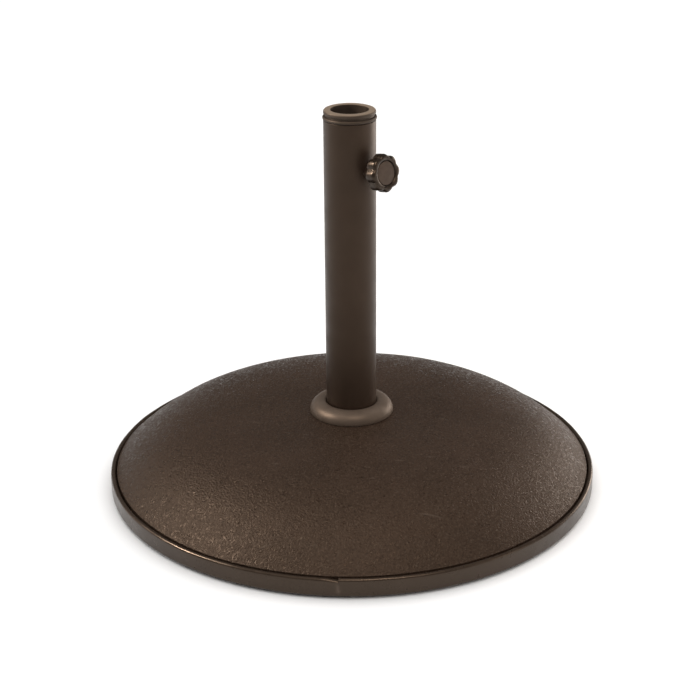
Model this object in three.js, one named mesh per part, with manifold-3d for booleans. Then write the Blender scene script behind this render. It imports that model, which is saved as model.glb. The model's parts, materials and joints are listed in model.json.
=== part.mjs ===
// A weighted parasol base: a domed concrete disc in a rolled steel band, an upright steel tube
// bolted down through the concrete, a trim collar, a plastic reducer in the tube's mouth and a
// lobed hand knob whose screw clamps the parasol pole.
// Millimetres, +Z up. The origin is on the ground in the middle of the disc; +X is right and
// -Y is the front.

import * as THREE from 'three';
import { mergeVertices } from 'three/addons/utils/BufferGeometryUtils.js';
import Module from 'manifold-3d';

const wasm = await Module();
wasm.setup();

// ---- Driving dimensions -------------------------------------------------------------------

const GAP = 0.3; // air between two pieces that touch
const GROUND_CLEARANCE = 3; // the feet hold the band this far off the ground
const OVERLAP = 1; // how far two shapes joined into one piece reach into each other

// Disc
const BASE_R = 264;
const BAND_HEIGHT = 19;
const SHEET = 1; // thickness of the band's steel
const LIP_R = 2.6; // outer radius of the band's rolled top edge
const BAND_CORNER_R = 2; // outer radius of the band's bottom bend
const BAND_RETURN = 9; // how far the band turns in under the concrete
const BAND_HEM = 9; // depth of the hem that hangs in the groove
const BAND_JOINT_ANGLE = THREE.MathUtils.degToRad(3); // left of the front
const BAND_JOINT_WIDTH = 0.9;
const DOME_R = 257;
const DOME_RISE = 56.6; // from the dome's edge to its crown
const DOME_FLATNESS = 4.94; // a higher power keeps the middle flat for longer
const DOME_SHOULDER = 1.09; // a higher power rounds the outer edge more

// Tube
const TUBE_R = 27;
const TUBE_WALL = 1.5;
const TUBE_TOP = 402.7;
const TUBE_FIT = 0.4; // play between the bore and the pieces inside it

// Pole socket, for a 38 mm pole
const POLE_HOLE_R = 19.5;

// Fixing through the concrete
const RECESS_R = 34;
const RECESS_DEPTH = 18;
const WEB = 15; // concrete between the recess and the tube's end
const BOLT_R = 5;
const BOLT_HOLE_PLAY = 1;
const BOLT_HEAD_ACROSS_FLATS = 17;
const BOLT_HEAD = 6.4;
const WASHER_R = 30;
const WASHER = 3;
const SPRING_WASHER_R = 8.7;
const SPRING_WASHER = 2.4;
const PLUG = 10;
const SEAT_R = 19; // the raised face on the plug that the pole stands on
const SEAT_STEP = 1.2;

// Collar
const COLLAR_R = 45.2;
const COLLAR_HEIGHT = 12.5;
const COLLAR_ROUND_R = 12.2; // radius of the collar's outer quarter round
const COLLAR_PLAY = 0.6;
const COLLAR_DISH = 0.8; // the inner edge lies this far below the crest

// Reducer
const REDUCER_FACE_R = 26.9;
const REDUCER_RING = 4; // height of the ring above the groove
const REDUCER_GROOVE = 2.3;
const REDUCER_GROOVE_R = 25.3;
const REDUCER_BEAD_R = 27.8;
const REDUCER_BEAD = 3.7;
const REDUCER_SLEEVE = 36;
const REDUCER_WALL = 4;
const REDUCER_EDGE_R = 2.1; // round on both edges of the ring face
const REDUCER_RIBS = 6;
const REDUCER_RIB = 2;

// Lower guide bush
const BUSH_HEIGHT = 22;
const BUSH_FUNNEL = 5;
const BUSH_LIP = 1;

// Clamp, measured outwards along the screw's axis from the tube's own axis
const CLAMP_ANGLE = THREE.MathUtils.degToRad(45); // right of the front
const CLAMP_RISE = THREE.MathUtils.degToRad(10); // the screw points slightly upwards
const CLAMP_Z = 347.2; // where the screw's axis crosses the tube's axis
const SCREW_R = 4; // M8
const SCREW_HOLE_PLAY = 0.6;
const NUT_ACROSS_FLATS = 13;
const NUT_OUT = 36.6;
const PAD_FACE = 19.4;
const PAD_THICK = 3;
const PAD_R = 6;
const PAD_PIN_R = 2.5;
const PAD_SKIN = 1.5; // nylon left in front of the screw's pin
const KNOB_BACK = 41;
const KNOB_THICK = 12.6;
const KNOB_R = 19.7;
const KNOB_LOBES = 8;
const KNOB_FLUTE = 2.4;
const KNOB_BEVEL = 2.6;
const KNOB_CAP_R = 12.2;
const KNOB_CAP_THICK = 1.8;
const KNOB_CAP_SUNK = 1.4;
const KNOB_CAP_PLAY = 0.5;
const SCREW_HEAD_R = 6.5;
const SCREW_HEAD = 2.5;

// Feet
const FOOT_COUNT = 4;
const FOOT_CIRCLE_R = 205;
const FOOT_R = 12.5;
const FOOT_HEIGHT = 9;
const FOOT_SCREW_R = 2;
const FOOT_SCREW_HEAD_R = 4.2;
const FOOT_SCREW_LENGTH = 24;
const ANCHOR_R = 4;

// Facets round a circle
const WIDE = 48;
const MEDIUM = 36;
const SMALL = 20;

// ---- Worked out from them -----------------------------------------------------------------

const bandBottom = GROUND_CLEARANCE;
const bandTop = bandBottom + BAND_HEIGHT;
const hemEnd = bandTop - BAND_HEM;
const underside = bandBottom + SHEET + GAP;
const ballastR = BASE_R - SHEET - GAP;
const domeEdge = bandTop;
const crown = domeEdge + DOME_RISE;
const webBottom = underside + RECESS_DEPTH;
const webTop = webBottom + WEB;
const tubeBottom = webTop + GAP;
const tubeBoreR = TUBE_R - TUBE_WALL;
const insideTubeR = tubeBoreR - TUBE_FIT;
const plugTop = tubeBottom + PLUG;
const screwFrame = clampMatrix();

// ---- Materials ----------------------------------------------------------------------------

const paint = (color, roughness, metalness = 0) =>
  new THREE.MeshStandardMaterial({ color, roughness, metalness });

const coatedConcrete = paint(0x46392f, 0.85);
const powderCoat = paint(0x3e322a, 0.5, 0.2);
const bandCoat = paint(0x43362d, 0.4, 0.2);
const trimPlastic = paint(0x41342b, 0.35);
const reducerPlastic = paint(0x4a3d33, 0.45);
const knobPlastic = paint(0x2f2722, 0.3);
const zincSteel = paint(0x9a9a98, 0.35, 1);
const rubber = paint(0x1c1b1a, 0.9);
const nylon = paint(0xb9b4a8, 0.6);

// ---- Geometry helpers ---------------------------------------------------------------------

/** The geometry with shared vertices merged and its faces pointing out. */
function closed(geometry) {
  const bare = geometry.clone();
  bare.deleteAttribute('normal');
  bare.deleteAttribute('uv');
  const merged = mergeVertices(bare, 1e-4);
  if (signedVolume(merged) < 0) {
    const index = merged.getIndex();
    for (let i = 0; i < index.count; i += 3) {
      const second = index.getX(i + 1);
      index.setX(i + 1, index.getX(i + 2));
      index.setX(i + 2, second);
    }
  }
  return merged;
}

function signedVolume(geometry) {
  const position = geometry.getAttribute('position');
  const index = geometry.getIndex();
  const corners = [new THREE.Vector3(), new THREE.Vector3(), new THREE.Vector3()];
  let sum = 0;
  for (let i = 0; i < index.count; i += 3) {
    corners.forEach((corner, k) => corner.fromBufferAttribute(position, index.getX(i + k)));
    sum += corners[0].dot(corners[1].cross(corners[2])) / 6;
  }
  return sum;
}

function toManifold(geometry) {
  const mesh = closed(geometry);
  const vertProperties = new Float32Array(mesh.getAttribute('position').array);
  const triVerts = new Uint32Array(mesh.getIndex().array);
  return new wasm.Manifold(new wasm.Mesh({ numProp: 3, vertProperties, triVerts }));
}

function fromManifold(manifold) {
  const { vertProperties, triVerts } = manifold.getMesh();
  const geometry = new THREE.BufferGeometry();
  geometry.setAttribute('position', new THREE.BufferAttribute(vertProperties, 3));
  geometry.setIndex(new THREE.BufferAttribute(triVerts, 1));
  return geometry;
}

function cut(geometry, ...tools) {
  return fromManifold(tools.reduce((rest, tool) => rest.subtract(toManifold(tool)), toManifold(geometry)));
}

function join(geometry, ...others) {
  return fromManifold(others.reduce((sum, other) => sum.add(toManifold(other)), toManifold(geometry)));
}

/** Turns a closed [radius, height] outline about the upright axis. */
function revolve(outline, facets) {
  const points = outline.map(([r, z]) => new THREE.Vector2(r, z));
  points.push(points[0].clone());
  return new THREE.LatheGeometry(points, facets).rotateX(Math.PI / 2);
}

/** Points on an arc in a [radius, height] outline, angles in degrees from the outward direction. */
function arc(r, z, radius, from, to, steps) {
  return Array.from({ length: steps + 1 }, (_, i) => {
    const angle = THREE.MathUtils.degToRad(from + ((to - from) * i) / steps);
    return [r + radius * Math.cos(angle), z + radius * Math.sin(angle)];
  });
}

function ring(inner, outer, low, high, facets) {
  return revolve([[inner, low], [outer, low], [outer, high], [inner, high]], facets);
}

function rod(radius, low, high, facets) {
  const geometry = new THREE.CylinderGeometry(radius, radius, high - low, facets);
  return geometry.rotateX(Math.PI / 2).translate(0, 0, (low + high) / 2);
}

/** A hexagonal bar; its radius is to the corners. */
function hexBar(acrossFlats, low, high) {
  return rod(acrossFlats / Math.sqrt(3), low, high, 6);
}

function mesh(name, geometry, material) {
  const made = new THREE.Mesh(closed(geometry), material);
  made.name = name;
  return made;
}

/** Places the clamp's own frame, whose +Z runs outwards along the screw. */
function clampMatrix() {
  const outwards = new THREE.Vector3(
    Math.sin(CLAMP_ANGLE) * Math.cos(CLAMP_RISE),
    -Math.cos(CLAMP_ANGLE) * Math.cos(CLAMP_RISE),
    Math.sin(CLAMP_RISE),
  );
  const sideways = new THREE.Vector3(0, 0, 1).cross(outwards).normalize();
  const upwards = outwards.clone().cross(sideways);
  return new THREE.Matrix4().makeBasis(sideways, upwards, outwards).setPosition(0, 0, CLAMP_Z);
}

/** The centres of the feet, as [x, y], halfway between the main axes. */
function footCentres() {
  return Array.from({ length: FOOT_COUNT }, (_, i) => {
    const angle = (2 * Math.PI * (i + 0.5)) / FOOT_COUNT;
    return [FOOT_CIRCLE_R * Math.cos(angle), FOOT_CIRCLE_R * Math.sin(angle)];
  });
}

// ---- Disc ---------------------------------------------------------------------------------

function domeZ(r) {
  return domeEdge + DOME_RISE * (1 - (r / DOME_R) ** DOME_FLATNESS) ** DOME_SHOULDER;
}

function ballastDome() {
  const socketR = TUBE_R + GAP;
  const boltHoleR = BOLT_R + BOLT_HOLE_PLAY;
  const shoulder = hemEnd - GAP;
  const steps = 9;
  const dome = Array.from({ length: steps }, (_, i) => {
    const r = DOME_R * Math.sqrt(1 - i / steps);
    return [r, domeZ(r)];
  });
  const disc = revolve(
    [
      [boltHoleR, webBottom],
      [RECESS_R, webBottom],
      [RECESS_R, underside],
      [ballastR - BAND_CORNER_R, underside],
      [ballastR, underside + BAND_CORNER_R],
      [ballastR, shoulder],
      [DOME_R, shoulder],
      ...dome,
      [socketR, domeZ(socketR)],
      [socketR, webTop],
      [boltHoleR, webTop],
    ],
    WIDE,
  );
  const footHoles = footCentres().flatMap(([x, y]) => [
    rod(FOOT_R + GAP, 0, FOOT_HEIGHT + GAP, SMALL).translate(x, y, 0),
    rod(ANCHOR_R + GAP, FOOT_HEIGHT, FOOT_HEIGHT + FOOT_SCREW_LENGTH, SMALL).translate(x, y, 0),
  ]);
  return mesh('ballast_dome', cut(disc, ...footHoles), coatedConcrete);
}

function rimBand() {
  const cornerR = BASE_R - BAND_CORNER_R;
  const cornerZ = bandBottom + BAND_CORNER_R;
  const lipR = BASE_R - LIP_R;
  const lipZ = bandTop - LIP_R;
  const returnR = BASE_R - BAND_RETURN;
  const hemR = BASE_R - 2 * LIP_R;
  const whole = revolve(
    [
      [returnR, bandBottom],
      ...arc(cornerR, cornerZ, BAND_CORNER_R, -90, 0, 2),
      ...arc(lipR, lipZ, LIP_R, 0, 180, 5),
      [hemR, hemEnd],
      [hemR + SHEET, hemEnd],
      ...arc(lipR, lipZ, LIP_R - SHEET, 180, 0, 4),
      ...arc(cornerR, cornerZ, BAND_CORNER_R - SHEET, 0, -90, 1),
      [returnR, bandBottom + SHEET],
    ],
    WIDE,
  );
  const slot = new THREE.BoxGeometry(BAND_JOINT_WIDTH, 2 * BAND_RETURN, 2 * BAND_HEIGHT)
    .translate(0, -BASE_R, bandBottom + BAND_HEIGHT / 2)
    .rotateZ(-BAND_JOINT_ANGLE);
  return mesh('rim_band', cut(whole, slot), bandCoat);
}

// ---- Tube and what is in it ---------------------------------------------------------------

function poleTube() {
  const tube = ring(tubeBoreR, TUBE_R, tubeBottom, TUBE_TOP, MEDIUM);
  const screwHole = rod(SCREW_R + SCREW_HOLE_PLAY, TUBE_R / 2, 2 * TUBE_R, SMALL).applyMatrix4(screwFrame);
  return mesh('pole_tube', cut(tube, screwHole), powderCoat);
}

function tubeFootPlug() {
  const shoulder = plugTop - SEAT_STEP;
  const plug = revolve(
    [
      [BOLT_R + GAP, tubeBottom],
      [insideTubeR, tubeBottom],
      [insideTubeR, shoulder],
      [SEAT_R, shoulder],
      [SEAT_R, plugTop],
      [BOLT_R + GAP, plugTop],
    ],
    MEDIUM,
  );
  return mesh('tube_foot_plug', plug, zincSteel);
}

function guideBush() {
  const bottom = plugTop - SEAT_STEP + GAP;
  const top = bottom + BUSH_HEIGHT;
  const bush = revolve(
    [
      [POLE_HOLE_R, bottom],
      [insideTubeR, bottom],
      [insideTubeR, top],
      [insideTubeR - BUSH_LIP, top],
      [POLE_HOLE_R, top - BUSH_FUNNEL],
    ],
    MEDIUM,
  );
  return mesh('guide_bush', bush, nylon);
}

function reducerCap() {
  const flange = TUBE_TOP + GAP;
  const beadR = REDUCER_BEAD / 2;
  const grooveBottom = flange + REDUCER_BEAD;
  const grooveTop = grooveBottom + REDUCER_GROOVE;
  const top = grooveTop + REDUCER_RING;
  const sleeveBottom = flange - REDUCER_SLEEVE;
  const sleeveR = POLE_HOLE_R + REDUCER_WALL;
  const body = revolve(
    [
      [POLE_HOLE_R, sleeveBottom],
      [sleeveR, sleeveBottom],
      [sleeveR, flange],
      ...arc(REDUCER_BEAD_R - beadR, flange + beadR, beadR, -90, 90, 6),
      [REDUCER_GROOVE_R, grooveBottom],
      [REDUCER_GROOVE_R, grooveTop],
      [REDUCER_FACE_R, grooveTop],
      ...arc(REDUCER_FACE_R - REDUCER_EDGE_R, top - REDUCER_EDGE_R, REDUCER_EDGE_R, 0, 90, 2),
      ...arc(POLE_HOLE_R + REDUCER_EDGE_R, top - REDUCER_EDGE_R, REDUCER_EDGE_R, 90, 180, 2),
    ],
    MEDIUM,
  );
  const ribReach = insideTubeR - POLE_HOLE_R - OVERLAP;
  const ribs = Array.from({ length: REDUCER_RIBS }, (_, i) =>
    new THREE.BoxGeometry(ribReach, REDUCER_RIB, REDUCER_SLEEVE - OVERLAP)
      .translate(insideTubeR - ribReach / 2, 0, (sleeveBottom + flange) / 2)
      .rotateZ((2 * Math.PI * i) / REDUCER_RIBS),
  );
  const web = ring(sleeveR - OVERLAP, insideTubeR, flange - OVERLAP, flange + OVERLAP, MEDIUM);
  return mesh('reducer_cap', join(body, web, ...ribs), reducerPlastic);
}

function collarRing() {
  const bottom = crown + GAP;
  const innerR = TUBE_R + COLLAR_PLAY;
  const roundR = COLLAR_R - COLLAR_ROUND_R;
  const collar = revolve(
    [
      [innerR, bottom],
      ...arc(roundR, bottom + COLLAR_HEIGHT - COLLAR_ROUND_R, COLLAR_ROUND_R, 0, 90, 6),
      [innerR, bottom + COLLAR_HEIGHT - COLLAR_DISH],
    ],
    MEDIUM,
  );
  return mesh('collar_ring', collar, trimPlastic);
}

// ---- Fixing through the concrete ----------------------------------------------------------

function fixings() {
  const washerTop = webBottom - GAP;
  const washerBottom = washerTop - WASHER;
  const springTop = washerBottom - GAP;
  const springBottom = springTop - SPRING_WASHER;
  const headTop = springBottom - GAP;
  const looseR = BOLT_R + GAP;
  const springGap = new THREE.BoxGeometry(SPRING_WASHER_R, 1, 2 * SPRING_WASHER)
    .translate(SPRING_WASHER_R / 2, 0, (springTop + springBottom) / 2);
  const washer = ring(looseR, WASHER_R, washerBottom, washerTop, MEDIUM);
  const spring = ring(looseR, SPRING_WASHER_R, springBottom, springTop, SMALL);
  const bolt = join(
    hexBar(BOLT_HEAD_ACROSS_FLATS, headTop - BOLT_HEAD, headTop),
    rod(BOLT_R, headTop - OVERLAP, plugTop - SEAT_STEP, SMALL),
  );
  return [
    mesh('fixing_washer', washer, zincSteel),
    mesh('spring_washer', cut(spring, springGap), zincSteel),
    mesh('fixing_bolt', bolt, zincSteel),
  ];
}

// ---- Clamp, in its own frame --------------------------------------------------------------

function clampNut() {
  const nut = hexBar(NUT_ACROSS_FLATS, TUBE_R - NUT_ACROSS_FLATS / 2, NUT_OUT);
  const bore = rod(SCREW_R + GAP, 0, 2 * NUT_OUT, SMALL);
  const tubeSpace = rod(TUBE_R + GAP, 0, TUBE_TOP, MEDIUM).applyMatrix4(screwFrame.clone().invert());
  return mesh('clamp_nut', cut(nut, bore, tubeSpace), powderCoat);
}

function clampScrew() {
  const pinStart = PAD_FACE + PAD_SKIN;
  const threadStart = PAD_FACE + PAD_THICK + GAP;
  const headStart = KNOB_BACK + KNOB_THICK / 2;
  const screw = join(
    rod(SCREW_R, threadStart, headStart + OVERLAP, SMALL),
    rod(PAD_PIN_R, pinStart, threadStart + OVERLAP, SMALL),
    rod(SCREW_HEAD_R - GAP, headStart + GAP, headStart + SCREW_HEAD, SMALL),
  );
  return mesh('clamp_screw', screw, zincSteel);
}

function clampPad() {
  const pinHole = rod(PAD_PIN_R + GAP, PAD_FACE + PAD_SKIN - GAP, PAD_FACE + 2 * PAD_THICK, SMALL);
  return mesh('clamp_pad', cut(rod(PAD_R, PAD_FACE, PAD_FACE + PAD_THICK, SMALL), pinHole), nylon);
}

function lobedOutline(radius) {
  const steps = KNOB_LOBES * 6;
  const points = Array.from({ length: steps }, (_, i) => {
    const angle = (2 * Math.PI * i) / steps;
    const r = radius - KNOB_FLUTE * (1 - Math.abs(Math.cos((KNOB_LOBES / 2) * angle)));
    return new THREE.Vector2(r * Math.cos(angle), r * Math.sin(angle));
  });
  return new THREE.Shape(points);
}

function knobGrip() {
  const front = KNOB_BACK + KNOB_THICK;
  const headStart = KNOB_BACK + KNOB_THICK / 2;
  const recessFloor = front - KNOB_CAP_SUNK - KNOB_CAP_THICK - GAP;
  const grip = new THREE.ExtrudeGeometry(lobedOutline(KNOB_R - KNOB_BEVEL), {
    depth: KNOB_THICK - 2 * KNOB_BEVEL,
    steps: 1,
    bevelEnabled: true,
    bevelSize: KNOB_BEVEL,
    bevelThickness: KNOB_BEVEL,
    bevelSegments: 2,
  }).translate(0, 0, KNOB_BACK + KNOB_BEVEL);
  const capRecess = rod(KNOB_CAP_R + KNOB_CAP_PLAY, recessFloor, front + KNOB_THICK, MEDIUM);
  const headSpace = rod(SCREW_HEAD_R, headStart, front, SMALL);
  const bore = rod(SCREW_R + GAP, 0, front, SMALL);
  return mesh('knob_grip', cut(grip, capRecess, headSpace, bore), knobPlastic);
}

function knobFaceCap() {
  const front = KNOB_BACK + KNOB_THICK - KNOB_CAP_SUNK;
  return mesh('knob_face_cap', rod(KNOB_CAP_R, front - KNOB_CAP_THICK, front, MEDIUM), knobPlastic);
}

function clamp() {
  const group = new THREE.Group();
  group.add(clampNut(), clampScrew(), clampPad(), knobGrip(), knobFaceCap());
  group.applyMatrix4(screwFrame);
  return group;
}

// ---- Feet ---------------------------------------------------------------------------------

function foot(number) {
  const headLow = 1.4;
  const headHigh = 4;
  const anchorLow = FOOT_HEIGHT + GAP;
  const anchorHigh = FOOT_HEIGHT + FOOT_SCREW_LENGTH - GAP;
  const pad = cut(
    rod(FOOT_R, 0, FOOT_HEIGHT, SMALL),
    rod(FOOT_SCREW_HEAD_R + GAP, -1, headHigh + GAP, SMALL),
    rod(FOOT_SCREW_R + GAP, 0, 2 * FOOT_HEIGHT, SMALL),
  );
  const screw = join(
    rod(FOOT_SCREW_HEAD_R, headLow, headHigh, SMALL),
    rod(FOOT_SCREW_R, headLow, headHigh + FOOT_SCREW_LENGTH, SMALL),
  );
  const group = new THREE.Group();
  group.add(
    mesh(`rubber_foot_${number}`, pad, rubber),
    mesh(`foot_screw_${number}`, screw, zincSteel),
    mesh(`foot_anchor_${number}`, ring(FOOT_SCREW_R + GAP, ANCHOR_R, anchorLow, anchorHigh, SMALL), nylon),
  );
  return group;
}

function feet() {
  return footCentres().map(([x, y], i) => {
    const group = foot(i + 1);
    group.position.set(x, y, 0);
    return group;
  });
}

// ---- The whole base -----------------------------------------------------------------------

const parasolBase = new THREE.Group();
parasolBase.add(
  ballastDome(),
  rimBand(),
  poleTube(),
  tubeFootPlug(),
  guideBush(),
  reducerCap(),
  collarRing(),
  ...fixings(),
  clamp(),
  ...feet(),
);

export default parasolBase;
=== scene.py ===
"""A weighted parasol base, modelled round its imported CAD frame. Metres, +Z up, -Y the front."""

import json
import math

import bmesh
import bpy
from mathutils import Matrix, Vector, noise


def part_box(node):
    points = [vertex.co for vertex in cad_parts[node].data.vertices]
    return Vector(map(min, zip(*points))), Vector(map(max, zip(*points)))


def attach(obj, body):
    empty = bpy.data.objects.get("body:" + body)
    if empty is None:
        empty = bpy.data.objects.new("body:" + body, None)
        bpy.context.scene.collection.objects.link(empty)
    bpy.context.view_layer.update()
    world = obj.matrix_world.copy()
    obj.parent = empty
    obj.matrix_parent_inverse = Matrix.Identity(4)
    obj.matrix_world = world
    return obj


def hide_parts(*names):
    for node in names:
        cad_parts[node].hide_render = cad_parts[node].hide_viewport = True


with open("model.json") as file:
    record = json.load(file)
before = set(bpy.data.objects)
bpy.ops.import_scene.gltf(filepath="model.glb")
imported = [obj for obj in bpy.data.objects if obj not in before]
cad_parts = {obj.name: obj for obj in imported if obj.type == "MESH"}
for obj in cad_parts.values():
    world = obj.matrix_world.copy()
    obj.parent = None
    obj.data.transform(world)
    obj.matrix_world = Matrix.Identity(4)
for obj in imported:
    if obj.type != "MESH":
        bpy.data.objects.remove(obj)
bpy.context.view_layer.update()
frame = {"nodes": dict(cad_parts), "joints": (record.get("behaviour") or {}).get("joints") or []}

# ---- Sizes, from the frame ----------------------------------------------------------------

MM = 0.001
GAP = 0.3 * MM

band_low, band_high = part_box("rim_band")
dome_low, dome_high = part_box("ballast_dome")
tube_low, tube_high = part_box("pole_tube")
collar_low, collar_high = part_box("collar_ring")
reducer_low, reducer_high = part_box("reducer_cap")
washer_low, washer_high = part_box("fixing_washer")
spring_low, spring_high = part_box("spring_washer")
bolt_low, bolt_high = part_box("fixing_bolt")

BASE_R = band_high.x
SHEET = 1 * MM
LIP_R = 2.6 * MM
BAND_RETURN = 9 * MM
BAND_HEM = 9 * MM
DOME_R = BASE_R - 7 * MM
TUBE_R = tube_high.x
TUBE_BORE_R = TUBE_R - 1.5 * MM
RECESS_R = 34 * MM
POLE_HOLE_R = 19.5 * MM
REDUCER_RIBS = 6

# The band's ends meet three degrees left of the front, and the lip is dented there
BAND_JOINT = math.radians(-90 - 3.0)
BAND_DENT_DEPTH = 5 * MM

# Fitted to the photo's outline: a high power keeps the dome's middle level,
# and the second one rounds it over to its edge
DOME_FLATNESS = 4.94
DOME_SHOULDER = 1.09

# Fixings, all ordinary metric sizes
BOLT_R = 5 * MM
BOLT_PITCH = 1.5 * MM
BOLT_HOLE_R = 6 * MM
WASHER_HOLE_R = 5.3 * MM
SPRING_WASHER_R = 8.7 * MM
FOOT_NUMBERS = (1, 2, 3, 4)
FOOT_SCREW_R = 2 * MM
FOOT_SCREW_PITCH = 1.4 * MM
FOOT_SCREW_HEAD_R = 4.2 * MM

knob_joint = next(j for j in frame["joints"] if j["name"] == "knob_turn")

# The clamp; places along its screw are measured outwards from the tube's axis
SCREW_R = 4 * MM
SCREW_PITCH = 1.25 * MM
SCREW_TIP = 20.9 * MM
SCREW_THREAD = 22.7 * MM
PAD_FACE = 19.4 * MM
PAD_R = 6 * MM
PAD_THICK = 3 * MM
NUT_OUT = 36.6 * MM
NUT_FLATS = 13 * MM
KNOB_BACK = 41 * MM
KNOB_FRONT = 53.6 * MM
KNOB_R = 19.7 * MM
KNOB_LOBES = 8
KNOB_FLUTE = 2.6 * MM
KNOB_CAP_R = 12.2 * MM
KNOB_CAP_SUNK = 1.3 * MM
KNOB_FLOOR = KNOB_FRONT - KNOB_CAP_SUNK - 2.1 * MM

# Facets round a circle
WIDE = 240
MEDIUM = 128
SMALL = 48

FULL_TURN = 2 * math.pi

# Colours of the light, and of the shine on everything painted or moulded brown
WARM = (1.0, 0.86, 0.74)
SURROUND = (1.0, 0.96, 0.92)
BROWN_SHEEN = (0.95, 0.74, 0.58)

# The camera that the photo's outline was fitted with; its place is in disc radii
CAMERA_PLACE = (-0.0045, -6, 3.0985)
CAMERA_PITCH = math.radians(22.91)
CAMERA_ROLL = math.radians(-0.38)
CAMERA_LENS = 82.3
CAMERA_SENSOR = 36


# ---- Camera, lights and floor -------------------------------------------------------------


def make_camera():
    """Stands six disc radii in front of the tube and looks down on it."""
    camera = bpy.data.objects.new("camera", bpy.data.cameras.new("camera"))
    bpy.context.scene.collection.objects.link(camera)
    camera.data.sensor_width = CAMERA_SENSOR
    camera.data.lens = CAMERA_LENS
    place = Matrix.Translation([radii * BASE_R for radii in CAMERA_PLACE])
    turned_down = Matrix.Rotation(math.pi / 2 - CAMERA_PITCH, 4, "X")
    camera.matrix_world = place @ turned_down @ Matrix.Rotation(CAMERA_ROLL, 4, "Z")
    bpy.context.scene.camera = camera


def make_floor():
    """A nearly white floor, much wider than the view."""
    half = 8.0
    corners = [(-half, -half, 0), (half, -half, 0), (half, half, 0), (-half, half, 0)]
    floor = mesh_object("floor", corners, [(0, 1, 2, 3)])
    look = Look("floor_white", roughness=0.9, specular=0.2)
    look.tint(look.noise(3.0, detail=2), (0.945, 0.945, 0.945), (0.955, 0.955, 0.955))
    look.put_on(floor)


def make_light(name, place, target, width, height, power, diffuse=True):
    """A warm soft box; one that isn't diffuse shows only as a sheen."""
    light = bpy.data.objects.new(name, bpy.data.lights.new(name, "AREA"))
    bpy.context.scene.collection.objects.link(light)
    light.data.shape = "RECTANGLE"
    light.data.size = width
    light.data.size_y = height
    light.data.energy = power
    light.data.color = WARM
    light.visible_diffuse = diffuse
    light.location = place
    light.rotation_mode = "QUATERNION"
    light.rotation_quaternion = (Vector(target) - Vector(place)).to_track_quat("-Z", "Y")


def make_overhead(strength):
    """A broad, even light from above that is kept out of reflections."""
    light = bpy.data.objects.new("overhead", bpy.data.lights.new("overhead", "SUN"))
    bpy.context.scene.collection.objects.link(light)
    light.data.angle = math.radians(110)
    light.data.energy = strength
    light.visible_glossy = False


def make_studio():
    """A dim surround, an even overhead light, soft boxes at the sides and two that only add sheen."""
    middle = (0, 0, 0.15)
    make_overhead(strength=3.0)
    make_light("side_right", (1.5, 1.1, 0.4), middle, width=0.9, height=0.8, power=13)
    make_light("low_right", (1.7, -0.7, 0.6), middle, width=0.6, height=0.6, power=3)
    make_light("side_left", (-1.7, 0.55, 0.2), middle, width=0.5, height=0.7, power=1.2)
    make_light("high_left", (-1.5, -0.05, 1.3), middle, width=0.35, height=0.35, power=54, diffuse=False)
    make_light("high_front", (0.25, -1.0, 1.9), middle, width=0.9, height=0.7, power=20, diffuse=False)
    world = bpy.data.worlds.new("studio")
    world.use_nodes = True
    background = world.node_tree.nodes["Background"]
    background.inputs["Color"].default_value = (*SURROUND, 1)
    background.inputs["Strength"].default_value = 0.2
    bpy.context.scene.world = world
    bpy.context.scene.view_settings.view_transform = "Standard"


# ---- Materials ----------------------------------------------------------------------------


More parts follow.
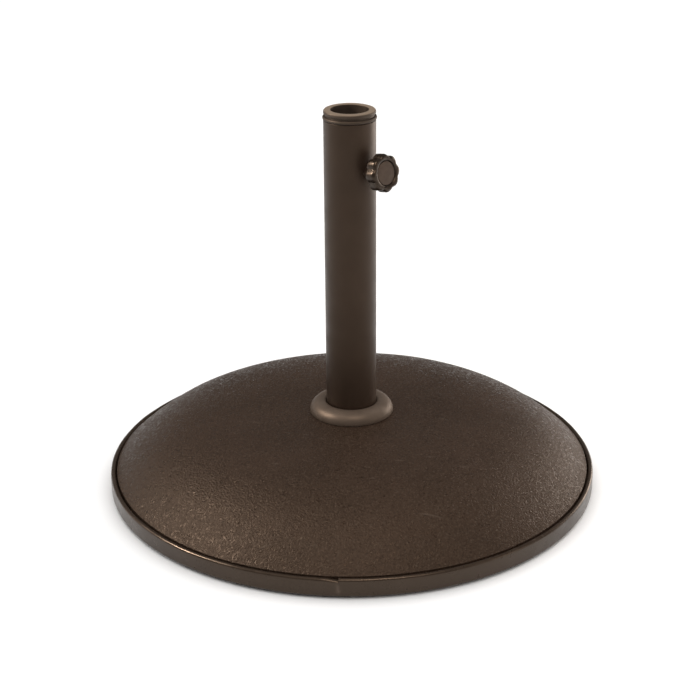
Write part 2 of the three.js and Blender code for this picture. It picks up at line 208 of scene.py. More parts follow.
class Look:
    """A node material under construction, with one short call for each kind of node used."""

    def __init__(self, name, roughness=0.5, metallic=0.0, specular=0.5, sheen=(1, 1, 1)):
        self.material = bpy.data.materials.new(name)
        self.material.use_nodes = True
        self.tree = self.material.node_tree
        self.shader = self.tree.nodes["Principled BSDF"]
        self.shader.inputs["Roughness"].default_value = roughness
        self.shader.inputs["Metallic"].default_value = metallic
        self.shader.inputs["Specular IOR Level"].default_value = specular
        self.shader.inputs["Specular Tint"].default_value = (*sheen, 1)
        self.place = self.tree.nodes.new("ShaderNodeTexCoord").outputs["Object"]

    def link(self, source, target):
        self.tree.links.new(source, target)

    def noise(self, scale, detail=3.0, stretch=(1, 1, 1)):
        """Soft noise, about 0.5 in the middle; scale is in cells per metre."""
        mapping = self.tree.nodes.new("ShaderNodeMapping")
        mapping.inputs["Scale"].default_value = stretch
        texture = self.tree.nodes.new("ShaderNodeTexNoise")
        texture.inputs["Scale"].default_value = scale
        texture.inputs["Detail"].default_value = detail
        self.link(self.place, mapping.inputs["Vector"])
        self.link(mapping.outputs["Vector"], texture.inputs["Vector"])
        return texture.outputs["Fac"]

    def cells(self, scale, output="Distance"):
        """Voronoi cells; the output is the distance to a cell's middle or its random colour."""
        texture = self.tree.nodes.new("ShaderNodeTexVoronoi")
        texture.inputs["Scale"].default_value = scale
        self.link(self.place, texture.inputs["Vector"])
        return texture.outputs[output]

    def ramp(self, value, low, high, to_low=0.0, to_high=1.0):
        """The value's range from low to high, spread over to_low to to_high and clamped."""
        node = self.tree.nodes.new("ShaderNodeMapRange")
        limits = {"From Min": low, "From Max": high, "To Min": to_low, "To Max": to_high}
        for name, number in limits.items():
            node.inputs[name].default_value = number
        self.link(value, node.inputs["Value"])
        return node.outputs["Result"]

    def height(self):
        """The mesh's own Z in metres, which on an upright piece at rest is the height above ground."""
        node = self.tree.nodes.new("ShaderNodeSeparateXYZ")
        self.link(self.place, node.inputs["Vector"])
        return node.outputs["Z"]

    def upward(self):
        """1 where the surface faces up, 0 where it stands upright, -1 where it faces down."""
        node = self.tree.nodes.new("ShaderNodeSeparateXYZ")
        geometry = self.tree.nodes.new("ShaderNodeNewGeometry")
        self.link(geometry.outputs["Normal"], node.inputs["Vector"])
        return node.outputs["Z"]

    def times(self, first, second):
        """The product of two values, each a number or another node's output."""
        node = self.tree.nodes.new("ShaderNodeMath")
        node.operation = "MULTIPLY"
        for socket, value in zip(node.inputs, (first, second)):
            if isinstance(value, (int, float)):
                socket.default_value = value
            else:
                self.link(value, socket)
        return node.outputs["Value"]

    def mix(self, factor, low, high):
        """A colour between two, each a colour or another node's output."""
        node = self.tree.nodes.new("ShaderNodeMix")
        node.data_type = "RGBA"
        self.link(factor, node.inputs["Factor"])
        sockets = [s for s in node.inputs if s.type == "RGBA"]
        for socket, colour in zip(sockets, (low, high)):
            if isinstance(colour, tuple):
                socket.default_value = (*colour, 1)
            else:
                self.link(colour, socket)
        return next(s for s in node.outputs if s.type == "RGBA")

    def paint(self, colour):
        """Sets the base colour to a node's output."""
        self.link(colour, self.shader.inputs["Base Color"])

    def tint(self, factor, low, high):
        """Sets the base colour to a mix of two."""
        self.paint(self.mix(factor, low, high))

    def vary_roughness(self, value, low, high, smoothest, roughest):
        """Spreads the value's range from low to high over the two roughnesses."""
        self.link(self.ramp(value, low, high, smoothest, roughest), self.shader.inputs["Roughness"])

    def bump(self, *layers):
        """Adds bumps one on another; each layer is (height, distance in metres, strength)."""
        before = None
        for height, distance, strength in layers:
            node = self.tree.nodes.new("ShaderNodeBump")
            node.inputs["Distance"].default_value = distance
            node.inputs["Strength"].default_value = strength
            self.link(height, node.inputs["Height"])
            if before is not None:
                self.link(before, node.inputs["Normal"])
            before = node.outputs["Normal"]
        self.link(before, self.shader.inputs["Normal"])

    def edges(self, start, end):
        """0 on the flats of the mesh and 1 on its convex edges; a flat's pointiness is 0.5."""
        geometry = self.tree.nodes.new("ShaderNodeNewGeometry")
        return self.ramp(geometry.outputs["Pointiness"], start, end)

    def put_on(self, *objects):
        for obj in objects:
            obj.data.materials.clear()
            obj.data.materials.append(self.material)


def coated_concrete():
    """Brown paint with a fine sandy grain that glints, its tips painted lighter and its pits darker,
    over concrete left raw underneath.
    """
    dark_paint, light_paint = (0.026, 0.015, 0.0095), (0.033, 0.0192, 0.0125)
    grain_tip_highlight, grain_pit_shade = (0.056, 0.038, 0.027), (0.014, 0.0085, 0.006)
    speck_colour, scratch_colour = (0.22, 0.18, 0.15), (0.12, 0.09, 0.07)
    dark_cement, light_cement = (0.20, 0.19, 0.175), (0.33, 0.315, 0.29)
    look = Look("coated_concrete", specular=0.24, sheen=BROWN_SHEEN)
    mottle = look.noise(14, detail=6)
    grain = look.noise(480, detail=4)
    sand = look.cells(500)
    colour = look.mix(look.ramp(mottle, 0.35, 0.65), dark_paint, light_paint)
    # The grain's tone follows the same noise as its bump: partly the sand's own tone, partly a painted
    # highlight on the tips and painted shade in the pits
    colour = look.mix(look.ramp(grain, 0.55, 0.72), colour, grain_tip_highlight)
    colour = look.mix(look.ramp(grain, 0.44, 0.28), colour, grain_pit_shade)
    speck_share = look.ramp(look.cells(160, "Color"), 0.93, 0.97)
    speck = look.times(speck_share, look.ramp(look.cells(160), 0.16, 0.08))
    colour = look.mix(speck, colour, speck_colour)
    scratch = look.ramp(look.noise(30, detail=8, stretch=(1, 6, 1)), 0.68, 0.72)
    colour = look.mix(look.times(scratch, 0.25), colour, scratch_colour)
    underneath = look.ramp(look.upward(), -0.4, -0.7)
    raw = look.mix(look.ramp(mottle, 0.3, 0.7), dark_cement, light_cement)
    look.paint(look.mix(underneath, colour, raw))
    glossy_grain = look.ramp(look.cells(500, "Color"), 0.5, 0.85)
    look.vary_roughness(glossy_grain, 0, 1, 0.55, 0.27)
    look.bump((grain, 0.0009, 1.0), (sand, 0.0004, 0.8), (look.noise(90, detail=3), 0.0004, 0.2))
    return look


def powder_coat():
    """Smooth semi-matt brown powder coat with the faintest orange peel, worn at its edges."""
    dark, light, worn_colour = (0.028, 0.0172, 0.0115), (0.034, 0.0208, 0.014), (0.13, 0.11, 0.095)
    look = Look("powder_coat", specular=0.32, sheen=BROWN_SHEEN)
    cloud = look.noise(22, detail=4)
    colour = look.mix(look.ramp(cloud, 0.35, 0.65), dark, light)
    worn = look.times(look.edges(0.53, 0.6), look.ramp(look.noise(180, detail=5), 0.45, 0.6))
    look.paint(look.mix(worn, colour, worn_colour))
    look.vary_roughness(look.noise(70, detail=5), 0.3, 0.7, 0.36, 0.47)
    look.bump((look.noise(900, detail=2), 0.0001, 0.3))
    return look


def band_paint():
    """The same brown, a little glossier, rubbed along the rolled edge."""
    dark, light, rubbed_colour = (0.022, 0.0145, 0.010), (0.028, 0.0185, 0.013), (0.07, 0.05, 0.038)
    look = Look("band_paint", sheen=BROWN_SHEEN)
    cloud = look.noise(18, detail=5)
    colour = look.mix(look.ramp(cloud, 0.35, 0.65), dark, light)
    rubbed = look.times(look.edges(0.515, 0.56), look.ramp(look.noise(120, detail=6), 0.5, 0.66))
    look.paint(look.mix(rubbed, colour, rubbed_colour))
    look.vary_roughness(look.noise(55, detail=6), 0.3, 0.7, 0.22, 0.36)
    look.bump((look.noise(26, detail=2), 0.0012, 0.22), (look.noise(700, detail=2), 0.0001, 0.25))
    return look


def trim_plastic():
    """Brown moulded plastic with a satin skin."""
    look = Look("trim_plastic", sheen=BROWN_SHEEN)
    cloud = look.ramp(look.noise(60, detail=5), 0.4, 0.65)
    look.tint(cloud, (0.076, 0.055, 0.041), (0.094, 0.069, 0.052))
    look.vary_roughness(look.noise(110, detail=5), 0.3, 0.7, 0.42, 0.54)
    look.bump((look.noise(1400, detail=2), 0.00004, 0.3))
    return look


def reducer_plastic():
    """Dark brown moulded plastic with a fine matt grain; the ring face on top is painted much paler, a
    painted highlight.
    """
    dark, light, painted_highlight_colour = (0.026, 0.019, 0.0145), (0.034, 0.025, 0.0195), (0.20, 0.15, 0.108)
    look = Look("reducer_plastic", sheen=BROWN_SHEEN)
    cloud = look.ramp(look.noise(80, detail=5), 0.4, 0.65)
    colour = look.mix(cloud, dark, light)
    # Painted highlight: the upward-facing ring face at the very top is painted pale to stand in for
    # light caught there
    near_top = look.ramp(look.height(), reducer_high.z - 1.6 * MM, reducer_high.z - 0.3 * MM)
    face = look.times(near_top, look.ramp(look.upward(), 0.35, 0.8))
    look.paint(look.mix(face, colour, painted_highlight_colour))
    look.vary_roughness(look.noise(160, detail=5), 0.3, 0.7, 0.5, 0.62)
    look.bump((look.noise(1800, detail=2), 0.00006, 0.4))
    return look


def knob_plastic():
    """Near-black brown plastic, glossier, with handling marks."""
    look = Look("knob_plastic", sheen=BROWN_SHEEN)
    cloud = look.ramp(look.noise(150, detail=5), 0.4, 0.65)
    look.tint(cloud, (0.010, 0.0066, 0.0046), (0.015, 0.010, 0.007))
    look.vary_roughness(look.noise(260, detail=6), 0.35, 0.65, 0.24, 0.4)
    look.bump((look.noise(2400, detail=2), 0.00004, 0.35))
    return look


def knob_face_plastic():
    """The knob's pressed-in disc: the same plastic with a paler, matt spark-eroded face."""
    look = Look("knob_face_plastic", specular=0.45, sheen=BROWN_SHEEN)
    cloud = look.ramp(look.noise(220, detail=5), 0.4, 0.65)
    look.tint(cloud, (0.035, 0.0225, 0.0165), (0.046, 0.030, 0.022))
    look.vary_roughness(look.noise(320, detail=6), 0.35, 0.65, 0.38, 0.55)
    look.bump((look.noise(3200, detail=3), 0.00005, 0.5))
    return look


def zinc_steel():
    """Zinc-plated steel, streaky, a little dull in patches."""
    look = Look("zinc_steel", metallic=1.0)
    cloud = look.ramp(look.noise(300, detail=6), 0.4, 0.68)
    look.tint(cloud, (0.42, 0.42, 0.42), (0.58, 0.57, 0.54))
    look.vary_roughness(look.noise(420, detail=6), 0.35, 0.65, 0.25, 0.5)
    look.bump((look.noise(1500, detail=2, stretch=(1, 1, 4)), 0.00004, 0.35))
    return look


def foot_rubber():
    """Black rubber with a dusty bloom."""
    look = Look("foot_rubber", specular=0.3)
    dust = look.ramp(look.noise(240, detail=7), 0.5, 0.75)
    look.tint(dust, (0.012, 0.012, 0.012), (0.06, 0.058, 0.054))
    look.vary_roughness(look.noise(500, detail=4), 0.3, 0.7, 0.7, 0.95)
    look.bump((look.noise(1300, detail=4), 0.0001, 0.5))
    return look


def nylon():
    """Off-white moulded nylon."""
    look = Look("nylon")
    cloud = look.ramp(look.noise(200, detail=6), 0.35, 0.7)
    look.tint(cloud, (0.5, 0.47, 0.41), (0.62, 0.59, 0.53))
    look.vary_roughness(look.noise(330, detail=4), 0.3, 0.7, 0.42, 0.6)
    look.bump((look.noise(1600, detail=2), 0.00005, 0.4))
    return look


# ---- Mesh building ------------------------------------------------------------------------


def mesh_object(name, vertices, faces, crease=40):
    """A smooth-shaded object; edges that turn more than crease degrees stay sharp."""
    mesh = bpy.data.meshes.new(name)
    mesh.from_pydata(vertices, [], faces)
    work = bmesh.new()
    work.from_mesh(mesh)
    bmesh.ops.remove_doubles(work, verts=work.verts, dist=1e-7)
    bmesh.ops.recalc_face_normals(work, faces=work.faces)
    work.to_mesh(mesh)
    work.free()
    mesh.shade_smooth()
    mesh.set_sharp_from_angle(angle=math.radians(crease))
    made = bpy.data.objects.new(name, mesh)
    bpy.context.scene.collection.objects.link(made)
    return made


def filleted(corners, arc_steps=6):
    """A closed outline of (radius, height) points. A corner's third number is its fillet radius."""
    points = []
    for i, (x, z, fillet) in enumerate(corners):
        here = Vector((x, z))
        if fillet <= 0:
            points.append((x, z))
            continue
        back = (Vector(corners[i - 1][:2]) - here).normalized()
        ahead = (Vector(corners[(i + 1) % len(corners)][:2]) - here).normalized()
        half = back.angle(ahead) / 2
        centre = here + (back + ahead).normalized() * fillet / math.sin(half)
        start = here + back * fillet / math.tan(half) - centre
        end = here + ahead * fillet / math.tan(half) - centre
        sweep = start.angle(end)
        for k in range(arc_steps + 1):
            t = k / arc_steps
            spoke = (start * math.sin((1 - t) * sweep) + end * math.sin(t * sweep)) / math.sin(sweep)
            points.append(tuple(centre + spoke))
    return points


def turned(name, rows, steps=MEDIUM, start=0.0, turn=FULL_TURN, crease=40):
    """Turns a closed outline of (radius, height) rows about Z.

    A radius or a height may be a function of the angle.
    """
    whole = turn > FULL_TURN - 1e-9
    columns = steps if whole else steps + 1
    vertices = []
    for i in range(columns):
        angle = start + turn * i / steps
        for radius, height in rows:
            r = radius(angle) if callable(radius) else radius
            z = height(angle) if callable(height) else height
            vertices.append((r * math.cos(angle), r * math.sin(angle), z))
    count = len(rows)
    faces = []
    for i in range(steps):
        here, there = i * count, ((i + 1) % columns) * count
        for k in range(count):
            m = (k + 1) % count
            faces.append((here + k, there + k, there + m, here + m))
    if not whole:
        faces.append(tuple(range(count)))
        faces.append(tuple(range(steps * count, (steps + 1) * count)))
    return mesh_object(name, vertices, faces, crease)


def boolean(obj, operation, *tools):
    """Cuts the tools out of obj, or joins them to it, and deletes the tool objects."""
    for tool in tools:
        modifier = obj.modifiers.new("boolean", "BOOLEAN")
        modifier.operation = operation
        modifier.solver = "EXACT"
        modifier.object = tool
    evaluated = obj.evaluated_get(bpy.context.evaluated_depsgraph_get())
    mesh = bpy.data.meshes.new_from_object(evaluated)
    obj.modifiers.clear()
    obj.data = mesh
    for tool in tools:
        bpy.data.objects.remove(tool)
    obj.data.shade_smooth()
    obj.data.set_sharp_from_angle(angle=math.radians(30))
    return obj


def shift(obj, x, y):
    """Moves the mesh sideways."""
    obj.data.transform(Matrix.Translation((x, y, 0)))
    return obj


def plain_rod(name, radius, low, high):
    """A solid cylinder about Z, to cut a hole with."""
    return turned(name, [(0, low), (radius, low), (radius, high), (0, high)], SMALL)


def hexagon(across_flats):
    """The radius of a hexagon as a function of the angle."""
    sixth = math.pi / 3

    def radius(angle):
        return across_flats / 2 / math.cos((angle % sixth) - sixth / 2)

    return radius


def chamfered_hexagon(across_flats, inset):
    """A hexagon whose corners are turned off, as on the face of a nut."""
    full = hexagon(across_flats)
    round_r = across_flats / 2 - inset

    def radius(angle):
        return min(full(angle), round_r)

    return radius


def threaded_rows(radius, pitch, low, high, per_turn=10):
    """Rows of a screw thread: at each height the radius follows a triangle wave round the helix."""
    depth = 0.6 * pitch
    flank = 1.15
    count = round((high - low) / pitch * per_turn)

    def at(height):
        def thread(angle):
            phase = (height / pitch - angle / FULL_TURN) % 1.0
            return radius - depth * min(1.0, abs(2 * phase - 1) * flank)

        return thread

    heights = [low + (high - low) * i / count for i in range(count + 1)]
    return [(at(height), height) for height in heights]


# ---- Disc ---------------------------------------------------------------------------------


def dome_height(r):
    """The dome's surface: broad and flat in the middle, rounding over towards its edge."""
    edge, crown = band_high.z, dome_high.z
    return edge + (crown - edge) * (1 - (r / DOME_R) ** DOME_FLATNESS) ** DOME_SHOULDER


def foot_place(number):
    """A foot's centre, radius and upper end."""
    low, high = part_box(f"rubber_foot_{number}")
    return (low + high) / 2, (high.x - low.x) / 2, high.z


def dome_rows(inner_r):
    """The dome's outline from its edge in to the tube, with rows closer together at the edge."""
    steps = 90
    rows = []
    for i in range(steps + 1):
        r = DOME_R * math.sqrt(1 - i / steps * (1 - (inner_r / DOME_R) ** 2))
        rows.append((r, dome_height(r), 0))
    return rows


def foot_recess(number):
    """A cutter for the recess that a foot sits in."""
    centre, radius, top = foot_place(number)
    recess = plain_rod(f"recess_{number}", radius + GAP, 0, top + GAP)
    return shift(recess, centre.x, centre.y)


def make_ballast():
    """The concrete casting: a dome with a socket for the tube and a recess for the bolt below."""
    socket_r = TUBE_R + GAP
    web_low = washer_high.z + GAP
    web_high = tube_low.z - GAP
    under = dome_low.z
    outer_r = dome_high.x
    shoulder = band_high.z - BAND_HEM - GAP
    rows = filleted(
        [
            (BOLT_HOLE_R, web_low, 0),
            (RECESS_R, web_low, 2 * MM),
            (RECESS_R, under, 1 * MM),
            (outer_r, under, 2 * MM),
            (outer_r, shoulder, 0),
            (DOME_R, shoulder, 0),
            *dome_rows(socket_r),
            (socket_r, web_high, 0),
            (BOLT_HOLE_R, web_high, 0),
        ]
    )
    casting = turned("ballast_casting", rows, WIDE)
    for vertex in casting.data.vertices:
        cast_surface_wave(vertex)
    boolean(casting, "DIFFERENCE", *[foot_recess(number) for number in FOOT_NUMBERS])
    finish_piece(casting, "base", ["ballast_dome"])
    return casting


def cast_surface_wave(vertex):
    """The slight unevenness of a cast surface, on the dome only."""
    depth, length = 0.35 * MM, 0.05
    if vertex.co.z > band_high.z - 1 * MM:
        vertex.co.z += depth * noise.noise(vertex.co / length)


def make_band():
    """A rolled strip: a tight bend under the disc, a straight wall and a rolled lip with a hem."""
    low, high = band_low.z, band_high.z
    return_r = BASE_R - BAND_RETURN
    hem_r = BASE_R - 2 * LIP_R
    hem_low = high - BAND_HEM
    dent_low = high - BAND_DENT_DEPTH
    edge = 0.4 * MM
    # Two fillets meet in the middle of the lip, so each is a touch smaller than half of it
    outer_bend = LIP_R - 0.01 * MM
    inner_bend = LIP_R - SHEET - 0.01 * MM
    rows = filleted(
        [
            (return_r, low, edge),
            (BASE_R, low, 2 * MM),
            (BASE_R, dent_low, 0),
            (BASE_R, high, outer_bend),
            (hem_r, high, outer_bend),
            (hem_r, hem_low, edge),
            (hem_r + SHEET, hem_low, edge),
            (hem_r + SHEET, high - SHEET, inner_bend),
            (BASE_R - SHEET, high - SHEET, inner_bend),
            (BASE_R - SHEET, low + SHEET, 1 * MM),
            (return_r, low + SHEET, edge),
        ],
        arc_steps=8,
    )
    gap_angle = 0.02 * MM / BASE_R
    band = turned("rim_band_strip", rows, WIDE * 2, BAND_JOINT + gap_angle, FULL_TURN - 2 * gap_angle)
    for vertex in band.data.vertices:
        roll_formed_wave(vertex, low, high)
        dip_at_joint(vertex, high)
    finish_piece(band, "base", ["rim_band"])
    return band


def roll_formed_wave(vertex, low, high):
    """The slight waver that rolling leaves in the strip, most of it in the lip."""
    depth = 0.25 * MM
    waves = 4.5
    angle = math.atan2(vertex.co.y, vertex.co.x)
    share = (vertex.co.z - low) / (high - low)
    spot = Vector((math.cos(angle), math.sin(angle), 0.2 * share)) * waves
    vertex.co.z += depth * share * share * (noise.noise(spot) + 0.5 * noise.noise(spot * 4))
    inward = 1 - depth / BASE_R * share * (0.7 + noise.noise(spot * 2))
    vertex.co.x *= inward
    vertex.co.y *= inward


def dip_at_joint(vertex, high):
    """The strip's left end is crimped: its lip sinks towards the joint."""
    depth, length = 2.2 * MM, math.radians(3.4)
    angle = math.atan2(vertex.co.y, vertex.co.x)
    behind = (BAND_JOINT - angle + math.pi) % FULL_TURN - math.pi
    above = vertex.co.z - (high - BAND_DENT_DEPTH)
    if 0 <= behind < length and above > 0:
        share = above / BAND_DENT_DEPTH
        vertex.co.z -= depth * share * (1 - behind / length) ** 1.5


# ---- Tube, collar and reducer -------------------------------------------------------------


def make_tube():
    """The upright tube, drilled for the clamp screw."""
    rim = 0.5 * MM
    hole_z = (clamp_frame() @ Vector((0, 0, TUBE_R))).z
    beside_hole = [hole_z - 9 * MM, hole_z + 9 * MM]
    rows = filleted(
        [
            (TUBE_BORE_R, tube_low.z, rim),
            (TUBE_R, tube_low.z, rim),
            *[(TUBE_R, z, 0) for z in beside_hole],
            (TUBE_R, tube_high.z, rim),
            (TUBE_BORE_R, tube_high.z, rim),
            *[(TUBE_BORE_R, z, 0) for z in reversed(beside_hole)],
        ]
    )
    tube = turned("pole_tube_steel", rows, MEDIUM)
    inside, outside = 15 * MM, 40 * MM
    drill = plain_rod("screw_hole", SCREW_R + 0.6 * MM, inside, outside)
    drill.data.transform(clamp_frame())
    boolean(tube, "DIFFERENCE", drill)
    finish_piece(tube, "base", ["pole_tube"])
    return tube


def make_collar():
    """A trim ring with a quarter-round outside and a top that sinks a little towards the tube."""
    bottom, top = collar_low.z, collar_high.z
    inner_r = TUBE_R + 0.6 * MM
    outer_r = collar_high.x
    round_r = top - bottom - GAP
    crest_r = outer_r - round_r
    arc_steps = 24
    rows = [(inner_r, bottom), (outer_r - 0.4 * MM, bottom)]
    for i in range(arc_steps + 1):
        angle = math.pi / 2 * i / arc_steps
        rows.append((crest_r + round_r * math.cos(angle), bottom + GAP + round_r * math.sin(angle)))
    rows += [
        (crest_r - 3 * MM, top - 0.15 * MM),
        (inner_r + 0.9 * MM, top - 0.6 * MM),
        (inner_r, top - 1.6 * MM),
    ]
    collar = turned("collar_trim_ring", rows, MEDIUM)
    finish_piece(collar, "collar", ["collar_ring"])
    return collar


def make_reducer():
    """A ribbed sleeve under a flange with a bead, a groove and a ring face."""
    top = reducer_high.z
    bottom = reducer_low.z
    flange = tube_high.z + GAP
    bead_top = flange + 3.7 * MM
    groove_top = bead_top + 2.3 * MM
    face_r, groove_r, bead_r = 26.9 * MM, 25.3 * MM, 27.8 * MM
    sleeve_r = POLE_HOLE_R + 4 * MM
    guide_r = TUBE_BORE_R - 0.4 * MM
    guide_low = flange - 1 * MM
    rows = filleted(
        [
            (POLE_HOLE_R, bottom, 0.6 * MM),
            (sleeve_r, bottom, 0.6 * MM),
            (sleeve_r, guide_low, 0.3 * MM),
            (guide_r, guide_low, 0.2 * MM),
            (guide_r, flange, 0.1 * MM),
            (bead_r, flange, 1.6 * MM),
            (bead_r, bead_top, 1.8 * MM),
            (groove_r, bead_top, 0.2 * MM),
            (groove_r, groove_top, 0.3 * MM),
            (face_r, groove_top, 0.5 * MM),
            (face_r, top, 2.2 * MM),
            (POLE_HOLE_R, top, 1.0 * MM),
        ]
    )
    reducer = turned("reducer_moulding", rows, MEDIUM)
    ribs = [reducer_rib(i, sleeve_r, guide_r, bottom, flange) for i in range(REDUCER_RIBS)]
    boolean(reducer, "UNION", *ribs)
    finish_piece(reducer, "reducer", ["reducer_cap"])
    return reducer


def reducer_rib(number, sleeve_r, guide_r, bottom, flange):
    """One of the upright ribs that centre the sleeve in the tube; its lower end is tapered."""
    half = 1 * MM
    inner = sleeve_r - 1 * MM
    low, high = bottom + 0.5 * MM, flange - 0.5 * MM
    lead_in = 4 * MM
    side = [
        (inner, low),
        (guide_r - 1 * MM, low),
        (guide_r, low + lead_in),
        (guide_r, high),
        (inner, high),
    ]
    count = len(side)
    vertices = [(r, y, z) for y in (-half, half) for r, z in side]
    faces = [tuple(range(count)), tuple(range(2 * count - 1, count - 1, -1))]
    faces += [(k, (k + 1) % count, (k + 1) % count + count, k + count) for k in range(count)]
    rib = mesh_object(f"rib_{number}", vertices, faces)
    rib.data.transform(Matrix.Rotation(FULL_TURN * number / REDUCER_RIBS, 4, "Z"))
    return rib


# ---- Clamp: nut, screw, pad and knob, in the screw's own frame ------------------------------


def clamp_frame():
    """The screw's frame: Z runs outwards along it, from where its axis crosses the tube's."""
    outwards = Vector(knob_joint["axis"]).normalized()
    sideways = Vector((0, 0, 1)).cross(outwards).normalized()
    upwards = outwards.cross(sideways)
    turn = Matrix((sideways, upwards, outwards)).transposed().to_4x4()
    return Matrix.Translation(knob_joint["pos_m"]) @ turn


def in_clamp(obj, body, nodes):
    """Finishes a piece that was built along Z and belongs along the screw."""
    obj.matrix_world = clamp_frame()
    finish_piece(obj, body, nodes)
    return obj


def saddle(across_flats):
    """How far out the tube's skin lies under a nut's edge, as a function of the angle."""
    radius = hexagon(across_flats)
    skin_r = TUBE_R + 0.1 * MM

    def height(angle):
        sideways = radius(angle) * math.cos(angle)
        return math.sqrt(skin_r**2 - sideways**2)

    return height


def make_nut():
    """A hexagon nut whose inner end follows the tube that it is welded to."""
    full = hexagon(NUT_FLATS)
    on_tube = saddle(NUT_FLATS)
    bore_r = SCREW_R + GAP
    chamfer = 0.9 * MM
    rows = [
        (bore_r, TUBE_R - 1 * MM),
        (lambda a: full(a) * 0.98, on_tube),
        (full, lambda a: on_tube(a) + 0.3 * MM),
        (full, NUT_OUT - chamfer - 0.2 * MM),
        (chamfered_hexagon(NUT_FLATS, -0.5 * MM), NUT_OUT - 0.35 * MM),
        (chamfered_hexagon(NUT_FLATS, 0.3 * MM), NUT_OUT),
        (bore_r + 0.7 * MM, NUT_OUT),
        (bore_r, NUT_OUT - 0.7 * MM),
    ]
    nut = turned("clamp_weld_nut", rows, steps=120, crease=25)
    return in_clamp(nut, "base", ["clamp_nut"])


def make_screw():
    """The threaded stud: a plain pin that holds the pad, then a thread up into the knob."""
    end = KNOB_BACK + 6 * MM
    pin_r = 2.5 * MM
    point = 0.3 * MM
    rows = [
        (0, SCREW_TIP),
        (pin_r - point, SCREW_TIP),
        (pin_r, SCREW_TIP + point),
        (pin_r, SCREW_THREAD),
        *threaded_rows(SCREW_R, SCREW_PITCH, SCREW_THREAD, end),
        (0, end),
    ]
    screw = turned("clamp_screw_stud", rows, steps=40, crease=60)
    return in_clamp(screw, "knob", ["clamp_screw"])


def make_pad():
    """The pressure pad, with a socket in its back for the screw's pin."""
    back = PAD_FACE + PAD_THICK
    socket_r = 2.8 * MM
    socket_floor = PAD_FACE + 1.2 * MM
    rows = filleted(
        [
            (0, PAD_FACE, 0),
            (PAD_R, PAD_FACE, 0.8 * MM),
            (PAD_R, back, 0.6 * MM),
            (socket_r, back, 0.2 * MM),
            (socket_r, socket_floor, 0),
            (0, socket_floor, 0),
        ]
    )
    pad = turned("clamp_pressure_pad", rows, SMALL)
    return in_clamp(pad, "pressure_pad", ["clamp_pad"])


def lobed(inset, share):
    """The grip's outline: broad lobes with narrow flutes; share fades the flutes out."""
    softness = 0.03

    def radius(angle):
        wave = math.cos(KNOB_LOBES / 2 * angle)
        flute = 1 - math.sqrt(wave * wave + softness) / math.sqrt(1 + softness)
        return KNOB_R - inset - share * KNOB_FLUTE * flute

    return radius


def grip_back_rows():
    """The grip's back: a shallow recess round the screw and a small rounding."""
    bore_r = SCREW_R + GAP
    round_r = 2.4 * MM
    recess = KNOB_BACK + 1 * MM
    steps = 8
    rows = [(bore_r, recess), (bore_r + 5 * MM, recess), (bore_r + 6 * MM, KNOB_BACK)]
    for i in range(steps + 1):
        angle = math.pi / 2 * i / steps
        inset = round_r * (1 - math.sin(angle))
        rows.append((lobed(inset, 1), KNOB_BACK + round_r * (1 - math.cos(angle))))
    return rows


def grip_front_rows():
    """The grip's front: a large rounding on which the flutes fade to under half."""
    round_r = 3.6 * MM
    fade = 0.55
    steps = 10
    rows = []
    for i in range(steps + 1):
        angle = math.pi / 2 * i / steps
        inset = round_r * (1 - math.cos(angle))
        outline = lobed(inset, 1 - fade * (i / steps) ** 2)
        rows.append((outline, KNOB_FRONT - round_r * (1 - math.sin(angle))))
    return rows


def make_grip():
    """The knob's grip, with rounded lobes and a sunk front."""
    bore_r = SCREW_R + GAP
    ring_r = KNOB_CAP_R + 0.5 * MM
    rows = [
        *grip_back_rows(),
        *grip_front_rows(),
        (ring_r + 1.6 * MM, KNOB_FRONT - 0.1 * MM),
        (ring_r + 0.8 * MM, KNOB_FRONT - 0.5 * MM),
        (ring_r + 0.2 * MM, KNOB_FRONT - 1.2 * MM),
        (ring_r, KNOB_FRONT - 1.7 * MM),
        (ring_r, KNOB_FLOOR),
        (bore_r, KNOB_FLOOR),
    ]
    grip = turned("knob_grip_moulding", rows, steps=256, crease=50)
    return in_clamp(grip, "knob", ["knob_grip"])


def make_knob_disc():
    """The round disc pressed into the grip's sunk front."""
    back, front = KNOB_FLOOR + 0.2 * MM, KNOB_FRONT - KNOB_CAP_SUNK
    rows = filleted(
        [
            (0, back, 0),
            (KNOB_CAP_R, back, 0),
            (KNOB_CAP_R, front, 0.7 * MM),
            (0, front, 0),
        ]
    )
    disc = turned("knob_face_disc", rows, MEDIUM)
    return in_clamp(disc, "knob", ["knob_face_cap"])


# ---- Underneath ---------------------------------------------------------------------------


def make_washer():
    """The large plate washer under the concrete."""
    low, high = washer_low.z, washer_high.z
    rows = filleted(
        [
            (WASHER_HOLE_R, low, 0.2 * MM),
            (washer_high.x, low, 0.5 * MM),
            (washer_high.x, high, 0.5 * MM),
            (WASHER_HOLE_R, high, 0.2 * MM),
        ],
        arc_steps=3,
    )
    washer = turned("fixing_washer_plate", rows)
    finish_piece(washer, "base", ["fixing_washer"])
    return washer


def make_spring_washer():
    """A split ring whose two ends are twisted apart."""
    half_split = math.radians(4)
    rise = 0.25 * MM
    inset = 0.15 * MM

    def twisted(z):
        return lambda angle: z + rise * (angle / FULL_TURN - 0.5)

    low, high = twisted(spring_low.z + inset), twisted(spring_high.z - inset)
    rows = [
        (WASHER_HOLE_R, low),
        (SPRING_WASHER_R, low),
        (SPRING_WASHER_R, high),
        (WASHER_HOLE_R, high),
    ]
    spring = turned("spring_washer_coil", rows, SMALL, half_split, FULL_TURN - 2 * half_split)
    finish_piece(spring, "base", ["spring_washer"])
    return spring


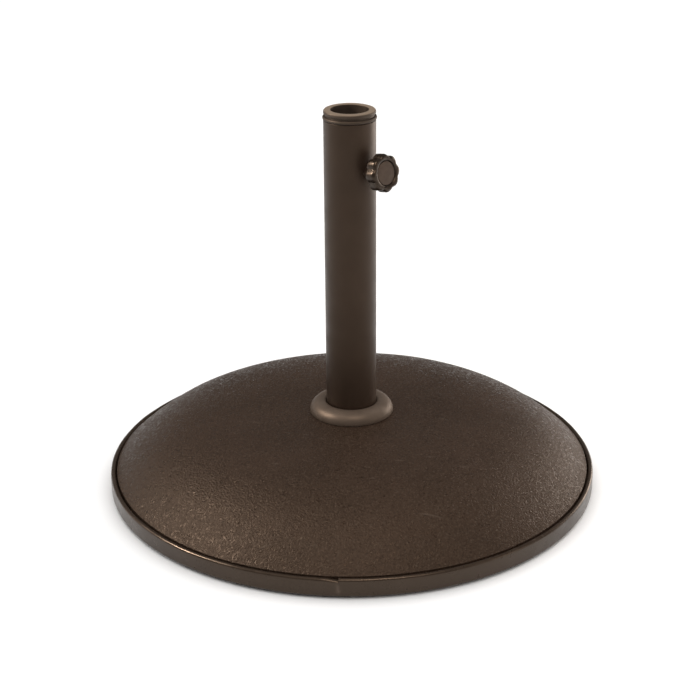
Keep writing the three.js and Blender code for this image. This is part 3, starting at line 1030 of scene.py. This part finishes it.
def make_bolt():
    """The hexagon bolt that pulls the tube down, head underneath."""
    flats = bolt_high.x - bolt_low.x
    head_low, head_high = bolt_low.z, spring_low.z - GAP
    top = bolt_high.z
    full = hexagon(flats)
    rows = [
        (0, head_low),
        (chamfered_hexagon(flats, 0.5 * MM), head_low),
        (chamfered_hexagon(flats, -0.7 * MM), head_low + 0.5 * MM),
        (full, head_low + 1.1 * MM),
        (full, head_high),
        (BOLT_R, head_high),
        *threaded_rows(BOLT_R, BOLT_PITCH, head_high + 0.5 * MM, top - 1 * MM, per_turn=8),
        (BOLT_R - 1 * MM, top),
        (0, top),
    ]
    bolt = turned("fixing_bolt_hex", rows, steps=96, crease=30)
    finish_piece(bolt, "base", ["fixing_bolt"])
    return bolt


def make_foot(number):
    """A moulded rubber foot with a tapered skirt and a deep hole for its screw's head."""
    centre, radius, top = foot_place(number)
    hole_r = FOOT_SCREW_R + GAP
    head_hole_r = FOOT_SCREW_HEAD_R + GAP
    head_floor = 4.3 * MM
    rows = filleted(
        [
            (hole_r, head_floor, 0),
            (head_hole_r, head_floor, 0.3 * MM),
            (head_hole_r, 0, 0.6 * MM),
            (radius - 1.2 * MM, 0, 1.2 * MM),
            (radius, 4.2 * MM, 0.5 * MM),
            (radius, top, 0.4 * MM),
            (hole_r, top, 0.2 * MM),
        ],
        arc_steps=5,
    )
    foot = turned(f"rubber_foot_moulding_{number}", rows, steps=72)
    finish_piece(shift(foot, centre.x, centre.y), "base", [f"rubber_foot_{number}"])
    return foot


def make_foot_screw(number):
    """A cross-recessed pan-head screw that holds a foot."""
    centre, _, _ = foot_place(number)
    low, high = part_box(f"foot_screw_{number}")
    head_base = low.z + 2.6 * MM
    rows = [
        (0, low.z),
        (1.6 * MM, low.z + 0.05 * MM),
        (3.4 * MM, low.z + 0.5 * MM),
        (FOOT_SCREW_HEAD_R, low.z + 1.3 * MM),
        (FOOT_SCREW_HEAD_R, head_base),
        (FOOT_SCREW_R, head_base),
        *threaded_rows(FOOT_SCREW_R, FOOT_SCREW_PITCH, head_base + 1 * MM, high.z - 3 * MM, per_turn=6),
        (0, high.z),
    ]
    screw = turned(f"foot_screw_pan_{number}", rows, steps=32, crease=50)
    slots = [cross_slot(f"slot_{number}_{i}", low.z, i * math.pi / 2) for i in range(2)]
    boolean(screw, "DIFFERENCE", *slots)
    finish_piece(shift(screw, centre.x, centre.y), "base", [f"foot_screw_{number}"])
    return screw


def cross_slot(name, head_z, angle):
    """A cutter for one bar of the cross recess: a wedge that narrows as it goes in."""
    half_length, half_width, depth = 2.2 * MM, 0.45 * MM, 1.3 * MM
    below = head_z - 1 * MM
    tip = head_z + depth
    vertices = [
        (-half_length, -half_width, below),
        (half_length, -half_width, below),
        (half_length, half_width, below),
        (-half_length, half_width, below),
        (-half_length / 3, -half_width / 2, tip),
        (half_length / 3, -half_width / 2, tip),
        (half_length / 3, half_width / 2, tip),
        (-half_length / 3, half_width / 2, tip),
    ]
    faces = [(3, 2, 1, 0), (4, 5, 6, 7), (0, 1, 5, 4), (1, 2, 6, 5), (2, 3, 7, 6), (3, 0, 4, 7)]
    bar = mesh_object(name, vertices, faces)
    bar.data.transform(Matrix.Rotation(angle, 4, "Z"))
    return bar


# ---- Putting it together ------------------------------------------------------------------


def finish_piece(obj, body, nodes):
    """Rides on its body and hides the CAD nodes that it stands for."""
    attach(obj, body)
    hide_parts(*nodes)


def dress_hidden_nodes(steel, white):
    """The CAD pieces that stay as they are: inside the tube and the concrete."""
    nodes = frame["nodes"]
    steel.put_on(nodes["tube_foot_plug"])
    white.put_on(nodes["guide_bush"])
    for number in FOOT_NUMBERS:
        white.put_on(nodes[f"foot_anchor_{number}"])


def main():
    """Builds the studio, then every piece, each with its material."""
    make_camera()
    make_floor()
    make_studio()
    steel, white = zinc_steel(), nylon()
    coat, knob_skin = powder_coat(), knob_plastic()
    coated_concrete().put_on(make_ballast())
    band_paint().put_on(make_band())
    coat.put_on(make_tube(), make_nut())
    trim_plastic().put_on(make_collar())
    reducer_plastic().put_on(make_reducer())
    steel.put_on(make_screw())
    white.put_on(make_pad())
    knob_skin.put_on(make_grip())
    knob_face_plastic().put_on(make_knob_disc())
    steel.put_on(make_washer(), make_spring_washer(), make_bolt())
    rubber = foot_rubber()
    for number in FOOT_NUMBERS:
        rubber.put_on(make_foot(number))
        steel.put_on(make_foot_screw(number))
    dress_hidden_nodes(steel, white)


main()
